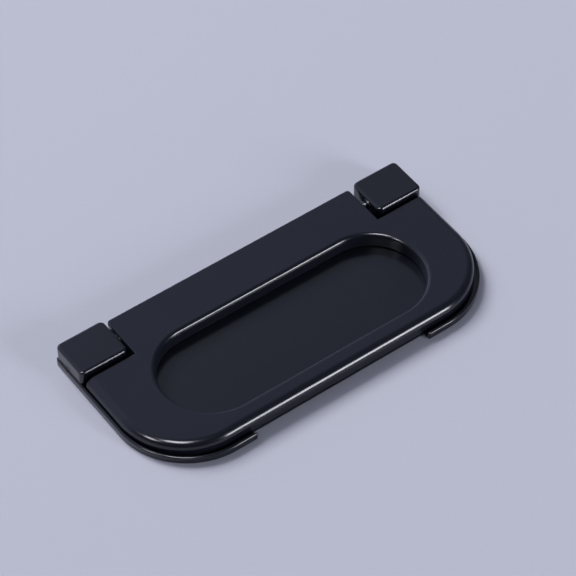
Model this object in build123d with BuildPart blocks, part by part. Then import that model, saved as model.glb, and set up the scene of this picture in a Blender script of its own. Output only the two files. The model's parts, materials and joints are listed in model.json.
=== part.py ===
"""Folding ring pull for a cabinet door, a drawer front or a hatch.

A thin die-cast back plate carries two hinge posts on its back corners and a low rim round its
front and ends.  A D-shaped pull ring lies in this tray and swings up on two short steel pins.
Its tail, between the posts, is relieved underneath: it dips into a slot in the plate's floor as
the ring is lifted and ends flat on the surface behind the plate, which is what stops the ring.

Millimetres and degrees.  X runs along the pull, +Y points to the hinge side and +Z away from
the surface that the plate is screwed to.  The origin is the middle of the plate's underside.
"""

import os
from math import cos, hypot, radians, sin, tan

from build123d import *

# ---------------------------------------------------------------- driving dimensions
pull_length = 110.8             # over the plate's ends

# Back plate: a thin floor with a low rim round the ring
plate_depth = 51.4
floor_thickness = 0.7
rim_height = 2.3                # above the underside
rim_width = 0.6
plate_corner_radius = 21.5      # the two round front corners
plate_edge_radius = 0.5         # rounded outer edge of the rim
plate_bottom_chamfer = 0.2

# Finger notch in the middle of the front, where a fingertip reaches the ring
notch_length = 54.8
notch_corner_radius = 1.0
rim_end_radius = 0.4            # ends of the rim on both sides of the notch

# Hinge posts, cast in one with the plate
post_inset = 0.4                # from the plate's end and back edge to a post's faces
post_length = 14.5
post_depth = 12.2
post_height = 7.0
post_corner_radius = 1.4
post_edge_radius = 0.8

# Pull ring
ring_thickness = 4.6
ring_front_inset = 2.2          # from the plate's front edge to the ring's
ring_corner_radius = 20.0
ring_shoulder_radius = 2.4      # soft upper edge along the ends and the front
ring_crisp_radius = 0.4         # upper edge of the tail and the recesses
ring_lower_chamfer = 0.3
tail_corner_radius = 1.0
recess_corner_radius = 0.8
opening_depth = 28.7
opening_rim_radius = 1.3
end_width = 14.3                # ring's ends, from the opening outwards
grip_width = 6.1                # front bar, from the opening to the ring's front edge

# Hinge
hinge_back_distance = 5.5       # from the posts' back faces to the hinge axis
pin_diameter = 2.2
pin_engagement = 8.0            # length of pin inside the ring
pin_end_chamfer = 0.25
washer_diameter = 3.4
washer_thickness = 0.7
opening_angle = 50.0            # from flat to the stop

# Screws: a blind hole in the underside of each post, drilled to be tapped M3
screw_hole_diameter = 2.5
screw_hole_depth = 5.0
screw_front_distance = 2.8      # from a post's front face to the screw's axis

# Clearances
rest_gap = 0.1                  # under the ring when it lies flat
ring_end_gap = 0.3              # between the ring's ends and the rim
side_gap = 1.2                  # from each post to the ring's tail
swing_gap = 0.25                # between the ring and a post's upper edge as it passes
slot_side_gap = 0.6             # from each end of the tail to the slot's end
heel_gap = 0.4                  # between the open tail and the front wall of the slot
stop_gap = 0.1                  # under the tail when the ring is fully open
running_gap = 0.05              # radial, between a pin and what turns on it
pin_end_gap = 0.5               # beyond the pin's inner end

# ---------------------------------------------------------------- derived sizes and places
half_length = pull_length / 2
back_y = plate_depth / 2
front_y = -plate_depth / 2

post_outer_x = half_length - post_inset
post_inner_x = post_outer_x - post_length
post_back_y = back_y - post_inset
post_front_y = post_back_y - post_depth

ring_underside = floor_thickness + rest_gap
ring_half_length = half_length - rim_width - ring_end_gap
ring_front_y = front_y + ring_front_inset
tail_half_length = post_inner_x - side_gap
slot_half_length = tail_half_length + slot_side_gap
opening_length = 2 * (ring_half_length - end_width)
opening_y = ring_front_y + grip_width + opening_depth / 2
screw_x = post_outer_x - post_length / 2
screw_y = post_front_y + screw_front_distance

hinge_y = post_back_y - hinge_back_distance
hinge_z = ring_underside + ring_thickness / 2
pin_radius = pin_diameter / 2
pin_length = post_length + side_gap + pin_engagement

# The ring's recesses pass in front of the posts' rounded upper edges
post_edge_reach = post_edge_radius + hypot(
    hinge_y - post_front_y - post_edge_radius, post_height - hinge_z - post_edge_radius
)
recess_y = hinge_y - post_edge_reach - swing_gap

# The open tail reaches furthest forward at the floor's upper face
open_tilt = radians(opening_angle)
heel_reach = (
    ring_thickness / 2 * sin(open_tilt)
    - (hinge_z - floor_thickness - ring_thickness / 2 * cos(open_tilt)) / tan(open_tilt)
)
slot_front_y = hinge_y - heel_reach - heel_gap
tail_radius = hinge_z - stop_gap

sides = {"left": -1, "right": 1}
tolerance = 0.01                # for choosing edges by their place


def at(shapes, axis, place):
    """The edges or vertices that lie at one place along an axis."""
    return shapes.filter_by_position(axis, place - tolerance, place + tolerance)


def either_side(vertices, x):
    """The vertices at a distance x from the middle, left and right."""
    return vertices.filter_by(lambda vertex: abs(abs(vertex.X) - x) < tolerance)


def bore_mouth(side, x):
    """A plane on the hinge axis that faces outwards, where a pin bore is drilled from."""
    return Plane(origin=(side * x, hinge_y, hinge_z), z_dir=(side, 0, 0))


# ---------------------------------------------------------------- back plate with its posts
with BuildPart() as back_plate:
    with BuildSketch() as plate_plan:
        Rectangle(pull_length, plate_depth)
        fillet(at(plate_plan.vertices(), Axis.Y, front_y), radius=plate_corner_radius)
        fillet(
            at(plate_plan.vertices(), Axis.Y, back_y), radius=post_corner_radius + post_inset
        )
        # Finger notch, back to the ring's front edge
        with Locations((0, front_y)):
            Rectangle(notch_length, 2 * ring_front_inset, mode=Mode.SUBTRACT)
        notch_corners = either_side(plate_plan.vertices(), notch_length / 2)
        fillet(at(notch_corners, Axis.Y, front_y), radius=rim_end_radius)
        fillet(at(notch_corners, Axis.Y, ring_front_y), radius=notch_corner_radius)
    extrude(amount=rim_height)
    plate_top = back_plate.faces().sort_by(Axis.Z)[-1]
    fillet(plate_top.outer_wire().edges(), radius=plate_edge_radius)

    # Pocket for the ring, open at the back, and the slot for the tail through its floor
    with BuildSketch(Plane.XY.offset(floor_thickness)) as pocket:
        with Locations((0, rim_width)):
            Rectangle(pull_length - 2 * rim_width, plate_depth)
        fillet(
            at(pocket.vertices(), Axis.Y, front_y + rim_width),
            radius=plate_corner_radius - rim_width,
        )
    extrude(amount=rim_height, mode=Mode.SUBTRACT)
    with BuildSketch():
        with Locations((0, back_y)):
            Rectangle(2 * slot_half_length, 2 * (back_y - slot_front_y))
    extrude(amount=rim_height, mode=Mode.SUBTRACT)

    # The posts rise from the underside, so the rim's rounded edge dies into them
    with BuildSketch():
        with Locations((post_outer_x - post_length / 2, post_back_y - post_depth / 2)):
            RectangleRounded(post_length, post_depth, post_corner_radius)
        mirror(about=Plane.YZ)
    extrude(amount=post_height)
    fillet(at(back_plate.edges(), Axis.Z, post_height), radius=post_edge_radius)
    plate_underside = back_plate.faces().sort_by(Axis.Z)[0]
    chamfer(plate_underside.outer_wire().edges(), length=plate_bottom_chamfer)

    # Screw holes from below, and the pin bores right through both posts
    for side in sides.values():
        with Locations(Plane(origin=(side * screw_x, screw_y, 0), z_dir=(0, 0, -1))):
            Hole(radius=screw_hole_diameter / 2, depth=screw_hole_depth)
        with Locations(bore_mouth(side, post_outer_x)):
            Hole(radius=pin_radius, depth=post_length)

# ---------------------------------------------------------------- pull ring
with BuildPart() as pull_ring:
    with BuildSketch(Plane.XY.offset(ring_underside)) as ring_plan:
        with Locations((0, (post_back_y + ring_front_y) / 2)):
            Rectangle(2 * ring_half_length, post_back_y - ring_front_y)
        fillet(at(ring_plan.vertices(), Axis.Y, ring_front_y), radius=ring_corner_radius)
        # Square recesses round the posts leave the tail between them
        with Locations((half_length, post_back_y), (-half_length, post_back_y)):
            Rectangle(
                2 * (half_length - tail_half_length),
                2 * (post_back_y - recess_y),
                mode=Mode.SUBTRACT,
            )
        tail_corners = either_side(ring_plan.vertices(), tail_half_length)
        fillet(at(tail_corners, Axis.Y, post_back_y), radius=tail_corner_radius)
        fillet(at(tail_corners, Axis.Y, recess_y), radius=recess_corner_radius)
        # Finger opening
        with Locations((0, opening_y)):
            SlotOverall(opening_length, opening_depth, mode=Mode.SUBTRACT)
    extrude(amount=ring_thickness)

    # Soft shoulder along the ends and the front, crisp edge on the tail and in the recesses
    outline = pull_ring.faces().sort_by(Axis.Z)[-1].outer_wire().edges()
    fillet(
        outline.filter_by(lambda edge: edge.center().Y < recess_y - tolerance),
        radius=ring_shoulder_radius,
    )
    outline = pull_ring.faces().sort_by(Axis.Z)[-1].outer_wire().edges()
    fillet(
        outline.filter_by(lambda edge: edge.center().Y > recess_y - tolerance),
        radius=ring_crisp_radius,
    )
    # Rounded rim of the opening, and a small chamfer on every lower edge
    fillet(
        pull_ring.faces().sort_by(Axis.Z)[-1].inner_wires().edges(), radius=opening_rim_radius
    )
    chamfer(at(pull_ring.edges(), Axis.Z, ring_underside), length=ring_lower_chamfer)

    # Relief under the tail: round about the hinge, then the flat that stops on the surface
    with BuildSketch(Plane.YZ.offset(-half_length)):
        with BuildLine():
            heel = CenterArc((hinge_y, hinge_z), tail_radius, -90, opening_angle)
            stop_flat = PolarLine(heel @ 1, 2 * ring_thickness, opening_angle)
            Polyline(stop_flat @ 1, (2 * back_y, (stop_flat @ 1).Y), (2 * back_y, 0), heel @ 0)
        make_face()
    extrude(amount=pull_length, mode=Mode.SUBTRACT)

    # Pin bores in both ends of the tail
    for side in sides.values():
        with Locations(bore_mouth(side, tail_half_length)):
            Hole(radius=pin_radius + running_gap, depth=pin_engagement + pin_end_gap)

# ---------------------------------------------------------------- files
os.makedirs("parts", exist_ok=True)

back_plate.part.label = "back_plate"
export_step(back_plate.part, "parts/back_plate.step")
pull_ring.part.label = "pull_ring"
export_step(pull_ring.part, "parts/pull_ring.step")

for hand, side in sides.items():
    # Steel pin, driven in from the post's outer end and finished flush with it
    with BuildPart() as hinge_pin:
        with BuildSketch(Plane.YZ.offset(side * post_outer_x)):
            with Locations((hinge_y, hinge_z)):
                Circle(pin_radius)
        extrude(amount=-side * pin_length)
        inner_end = hinge_pin.faces().sort_by(lambda face: abs(face.center().X))[0]
        chamfer(inner_end.edges(), length=pin_end_chamfer)
    hinge_pin.part.label = f"hinge_pin_{hand}"
    export_step(hinge_pin.part, f"parts/hinge_pin_{hand}.step")

    # Thrust washer on the pin, against the end of the tail
    with BuildPart() as thrust_washer:
        with BuildSketch(Plane.YZ.offset(side * tail_half_length)):
            with Locations((hinge_y, hinge_z)):
                Circle(washer_diameter / 2)
                Circle(pin_radius + running_gap, mode=Mode.SUBTRACT)
        extrude(amount=side * washer_thickness)
    thrust_washer.part.label = f"thrust_washer_{hand}"
    export_step(thrust_washer.part, f"parts/thrust_washer_{hand}.step")
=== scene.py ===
"""Looks of the folding ring pull: satin black castings, bright steel pins, a pale surface."""

import json
from math import radians

import bpy
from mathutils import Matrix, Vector


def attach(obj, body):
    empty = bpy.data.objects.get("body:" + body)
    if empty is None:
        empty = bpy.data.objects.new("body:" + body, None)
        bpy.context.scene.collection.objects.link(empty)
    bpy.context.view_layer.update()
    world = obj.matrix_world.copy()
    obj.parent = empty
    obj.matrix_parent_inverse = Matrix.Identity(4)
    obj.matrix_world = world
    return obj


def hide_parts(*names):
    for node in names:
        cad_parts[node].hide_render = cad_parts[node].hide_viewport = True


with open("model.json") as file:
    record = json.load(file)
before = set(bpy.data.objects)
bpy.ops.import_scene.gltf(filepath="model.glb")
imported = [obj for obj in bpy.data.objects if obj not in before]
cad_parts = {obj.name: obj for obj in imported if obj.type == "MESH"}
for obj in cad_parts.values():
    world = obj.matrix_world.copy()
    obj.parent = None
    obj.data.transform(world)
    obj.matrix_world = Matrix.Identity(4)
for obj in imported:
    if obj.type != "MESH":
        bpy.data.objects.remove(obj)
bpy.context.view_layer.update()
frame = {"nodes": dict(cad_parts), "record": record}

# Each paint as its darker and its lighter tone. The ring is a little greyer than the plate.
PLATE_PAINT = ((0.0050, 0.0058, 0.0103, 1.0), (0.0068, 0.0077, 0.0131, 1.0))
RING_PAINT = ((0.0092, 0.0105, 0.0170, 1.0), (0.0118, 0.0131, 0.0206, 1.0))
BRIGHT_STEEL = (0.42, 0.42, 0.43, 1.0)
FLOOR_GREY = (0.50, 0.51, 0.59, 1.0)
ROOM_LIGHT = (0.84, 0.92, 1.22, 1.0)
SOFTBOX_LIGHT = (0.95, 0.96, 1.05)

# Scales of the patterns on a surface, the higher the finer
CLOUD_SCALE = 60.0
FLOW_SCALE = 900.0
GRIT_SCALE = 4200.0
STREAK_SCALE = 2600.0

# Steel beyond these places on X takes the plate's paint: the pins' outer ends are painted
# over, and the left washer and pin in the left gap carry painted shade, made dark because
# that gap lies in shade.
PIN_END_X = 0.0545
LEFT_GAP_SHADE_X = -0.0385

# Edges that turn less than this, such as the facets of a round, look smooth.
SMOOTH_ANGLE = radians(31)
WELD_DISTANCE = 1e-6

# The floor lies a hair under the plate, so that the two never share a plane.
FLOOR_SIZE = 6.0
FLOOR_Z = -0.00005

# Name, place, width, height and power of the softboxes
KEY_SOFTBOX = ("back_softbox", (-0.45, 2.45, 2.05), 1.8, 1.2, 116.0)
FRONT_SOFTBOX = ("front_softbox", (0.645, -1.39, 0.450), 0.42, 0.50, 12.5)
TOP_SOFTBOX = ("top_softbox", (-0.50, -0.36, 1.36), 0.50, 0.45, 13.0)
LEFT_SOFTBOX = ("left_softbox", (-1.145, -0.10, 0.964), 0.30, 0.35, 5.5)

CAMERA_PLACE = (-0.26992, -0.37072, 0.55311)
CAMERA_TURN = (radians(40.4596), radians(0.0291), radians(-36.1595))
CAMERA_LENS = 171.67
CAMERA_SENSOR = 36.0


# ---------------------------------------------------------------- shader expressions
class Value:
    """One socket of a node tree, with arithmetic that adds Math nodes."""

    def __init__(self, tree, socket):
        self.tree = tree
        self.socket = socket

    def math(self, operation, *others, clamp=False):
        settings = {"operation": operation, "use_clamp": clamp}
        sockets = dict(enumerate((self, *others)))
        return self.tree.add("ShaderNodeMath", settings, sockets).out()

    def __add__(self, other):
        return self.math("ADD", other)

    __radd__ = __add__

    def __mul__(self, other):
        return self.math("MULTIPLY", other)

    __rmul__ = __mul__

    def __sub__(self, other):
        return self.math("SUBTRACT", other)

    def __rsub__(self, other):
        return (self * -1.0) + other

    def clamped(self):
        return self.math("ADD", 0.0, clamp=True)


class Node:
    """A node that has been added to a tree."""

    def __init__(self, tree, node):
        self.tree = tree
        self.node = node

    def out(self, name=0):
        return Value(self.tree, self.node.outputs[name])


class Tree:
    """The node tree of a material or a world, built from nothing."""

    def __init__(self, owner):
        owner.use_nodes = True
        self.owner = owner
        self.nodes = owner.node_tree.nodes
        self.links = owner.node_tree.links
        self.nodes.clear()

    def add(self, kind, settings=None, sockets=None):
        node = self.nodes.new(kind)
        for name, value in (settings or {}).items():
            setattr(node, name, value)
        for name, value in (sockets or {}).items():
            if isinstance(value, Value):
                self.links.new(value.socket, node.inputs[name])
            else:
                node.inputs[name].default_value = value
        return Node(self, node)

    def surface(self, shader, output="ShaderNodeOutputMaterial"):
        self.add(output, None, {"Surface": shader})
        return self.owner


def new_finish(name):
    return Tree(bpy.data.materials.new(name))


def object_place(finish):
    return finish.add("ShaderNodeTexCoord").out("Object")


def noise(finish, place, scale, detail):
    sockets = {"Vector": place, "Scale": scale, "Detail": detail}
    return finish.add("ShaderNodeTexNoise", None, sockets).out("Fac")


def blend_colours(finish, mask, first, second):
    sockets = {0: mask, 6: first, 7: second}
    return finish.add("ShaderNodeMix", {"data_type": "RGBA"}, sockets).out(2)


# ---------------------------------------------------------------- finishes
def satin_black_paint(name, tones, roughness, coat):
    """Sprayed paint on a casting: faint clouds, a soft flow and a fine grit."""
    finish = new_finish(name)
    place = object_place(finish)
    cloud = noise(finish, place, CLOUD_SCALE, 3.0)
    flow = noise(finish, place, FLOW_SCALE, 2.0)
    grit = noise(finish, place, GRIT_SCALE, 2.0)
    height = flow * 0.6 + grit * 0.4
    bump = finish.add(
        "ShaderNodeBump", None, {"Strength": 0.02, "Distance": 0.0002, "Height": height}
    ).out()
    shader = finish.add(
        "ShaderNodeBsdfPrincipled",
        None,
        {
            "Base Color": blend_colours(finish, cloud, *tones),
            "Roughness": cloud * 0.04 + grit * 0.03 + roughness,
            "Metallic": 0.0,
            "IOR": 1.5,
            "Coat Weight": coat,
            "Coat Roughness": 0.1,
            "Normal": bump,
        },
    ).out()
    return finish.surface(shader)


def turned_steel():
    """Bright steel; the pins' outer ends are painted over, and the left washer and pin in the
    gap carry painted shade, the plate's dark paint.
    """
    finish = new_finish("turned_steel")
    place = object_place(finish)
    across = finish.add("ShaderNodeSeparateXYZ", None, {"Vector": place}).out("X")
    outer_ends = across.math("ABSOLUTE").math("GREATER_THAN", PIN_END_X)
    # Painted shade: the steel in the left gap takes the plate's dark paint; the outer ends
    # are real paint.
    paint_and_painted_shade = across.math("LESS_THAN", LEFT_GAP_SHADE_X).math("MAXIMUM", outer_ends)
    streaks = noise(finish, place, STREAK_SCALE, 3.0)
    shader = finish.add(
        "ShaderNodeBsdfPrincipled",
        None,
        {
            "Base Color": blend_colours(finish, paint_and_painted_shade, BRIGHT_STEEL, PLATE_PAINT[1]),
            "Roughness": 0.22 + streaks * 0.12,
            "Metallic": 1.0 - paint_and_painted_shade,
        },
    ).out()
    return finish.surface(shader)


steel = turned_steel()
finish_of = {
    "back_plate": satin_black_paint("satin_black_paint_plate", PLATE_PAINT, 0.20, 0.3),
    "pull_ring": satin_black_paint("satin_black_paint_ring", RING_PAINT, 0.16, 0.0),
}


# ---------------------------------------------------------------- castings, pins, washers
def body_of(node_name):
    bodies = frame["record"]["behaviour"]["bodies"]
    return next(body for body, members in bodies.items() if node_name in members)


def smooth_copy(node_name):
    """Stand a welded copy in for a CAD node, with smooth rounded edges and true flats."""
    source = frame["nodes"][node_name]
    copy = bpy.data.objects.new(node_name + "_surface", source.data.copy())
    bpy.context.scene.collection.objects.link(copy)
    bpy.ops.object.select_all(action="DESELECT")
    copy.select_set(True)
    bpy.context.view_layer.objects.active = copy
    copy.data.materials.clear()
    copy.data.materials.append(finish_of.get(node_name, steel))
    bpy.ops.mesh.customdata_custom_splitnormals_clear()
    bpy.ops.object.mode_set(mode="EDIT")
    bpy.ops.mesh.select_all(action="SELECT")
    bpy.ops.mesh.remove_doubles(threshold=WELD_DISTANCE)
    bpy.ops.object.mode_set(mode="OBJECT")
    bpy.ops.object.shade_smooth_by_angle(angle=SMOOTH_ANGLE)
    weighted = copy.modifiers.new("weighted_normals", "WEIGHTED_NORMAL")
    weighted.mode = "FACE_AREA"
    weighted.weight = 100
    weighted.keep_sharp = True
    bpy.ops.object.modifier_apply(modifier=weighted.name)
    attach(copy, body_of(node_name))
    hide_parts(node_name)


for node_name in sorted(frame["nodes"]):
    smooth_copy(node_name)


# ---------------------------------------------------------------- pale surface, light, camera
def plain_floor():
    bpy.ops.mesh.primitive_plane_add(size=FLOOR_SIZE, location=(0.0, 0.0, FLOOR_Z))
    floor = bpy.context.object
    floor.name = "pale_surface"
    finish = new_finish("pale_surface")
    shader = finish.add(
        "ShaderNodeBsdfPrincipled",
        None,
        {"Base Color": FLOOR_GREY, "Roughness": 0.7, "Specular IOR Level": 0.3},
    ).out()
    floor.data.materials.append(finish.surface(shader))


def softbox(name, place, width, height, power):
    """A rectangular lamp that faces the pull."""
    bpy.ops.object.light_add(type="AREA", location=place)
    lamp = bpy.context.object
    lamp.name = name
    lamp.data.shape = "RECTANGLE"
    lamp.data.size = width
    lamp.data.size_y = height
    lamp.data.energy = power
    lamp.rotation_euler = (-Vector(place)).to_track_quat("-Z", "Y").to_euler()
    return lamp


def reflector(settings, lights_floor):
    """A softbox that shines in the edges, and lights the floor only where it is asked to."""
    lamp = softbox(*settings)
    lamp.data.color = SOFTBOX_LIGHT
    lamp.visible_diffuse = lights_floor


def soft_room():
    """A dim room that is lighter towards the back and the left."""
    room = Tree(bpy.data.worlds.new("soft_room"))
    direction = room.add("ShaderNodeTexCoord").out("Generated")
    split = room.add("ShaderNodeSeparateXYZ", None, {"Vector": direction})
    back_wall = split.out("Y").clamped()
    left_part = (1.0 - split.out("X")).clamped()
    strength = back_wall * left_part * 0.80 + 0.05
    light = room.add(
        "ShaderNodeBackground", None, {"Color": ROOM_LIGHT, "Strength": strength}
    ).out()
    return room.surface(light, "ShaderNodeOutputWorld")


def place_camera():
    bpy.ops.object.camera_add(location=CAMERA_PLACE, rotation=CAMERA_TURN)
    camera = bpy.context.object
    camera.data.lens = CAMERA_LENS
    camera.data.sensor_width = CAMERA_SENSOR
    bpy.context.scene.camera = camera


plain_floor()
key = softbox(*KEY_SOFTBOX)
key.visible_glossy = False
reflector(FRONT_SOFTBOX, lights_floor=True)
reflector(TOP_SOFTBOX, lights_floor=False)
reflector(LEFT_SOFTBOX, lights_floor=False)
bpy.context.scene.world = soft_room()
place_camera()
bpy.context.scene.view_settings.view_transform = "Standard"
